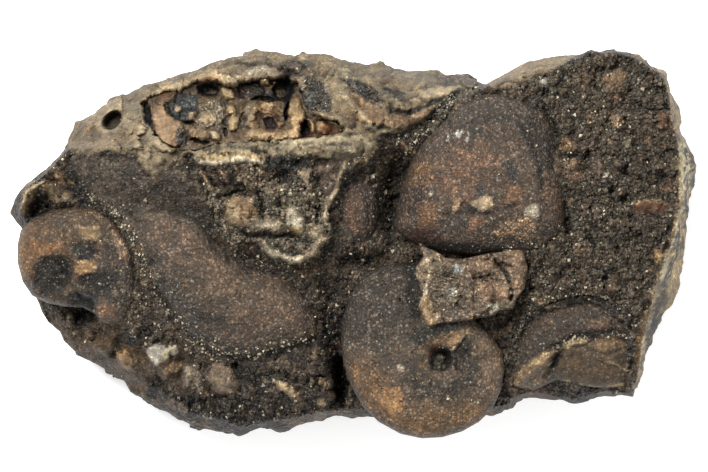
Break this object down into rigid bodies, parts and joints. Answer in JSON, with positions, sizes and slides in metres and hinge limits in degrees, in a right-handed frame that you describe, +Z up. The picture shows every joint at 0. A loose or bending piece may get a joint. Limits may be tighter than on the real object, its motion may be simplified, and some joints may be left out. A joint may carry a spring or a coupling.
{
  "type": "ammonite fossil plate",
  "caption": "Hand-sized block of dark gritty rock with smooth ammonite shells set in its front face and an open hollow in its broken upper edge.",
  "frame": {"origin": "middle of the flat resting face, under the middle of the block", "axes": "+X along the block's long side, from the tapered end to the broad end; +Y towards the broken upper edge with the hollow; +Z up out of the front face that holds the fossils"},
  "size_m": [0.1205, 0.0681, 0.0407],
  "materials": {
    "matrix": "rough, gritty, dark brown",
    "ammonite_lower_middle": "smooth brown fossil shell, matt",
    "ammonite_upper_middle": "smooth brown fossil shell, matt",
    "ammonite_left": "smooth brown fossil shell with fine ribs, matt",
    "ammonite_middle_left": "smooth brown fossil shell, matt",
    "ammonite_lower_right": "smooth brown fossil shell, broken open, matt",
    "ammonite_small": "smooth brown fossil shell, matt",
    "shell_scrap": "tan, cracked and pitted",
    "hollow_crust": "orange-tan shell chips and crystals"
  },
  "bodies": {
    "root": {"matrix": "matrix", "ammonite_lower_middle": "ammonite_lower_middle", "ammonite_upper_middle": "ammonite_upper_middle", "ammonite_left": "ammonite_left", "ammonite_middle_left": "ammonite_middle_left", "ammonite_lower_right": "ammonite_lower_right", "ammonite_small": "ammonite_small", "shell_scrap": "shell_scrap", "hollow_crust": "hollow_crust"}
  },
  "joints": []
}
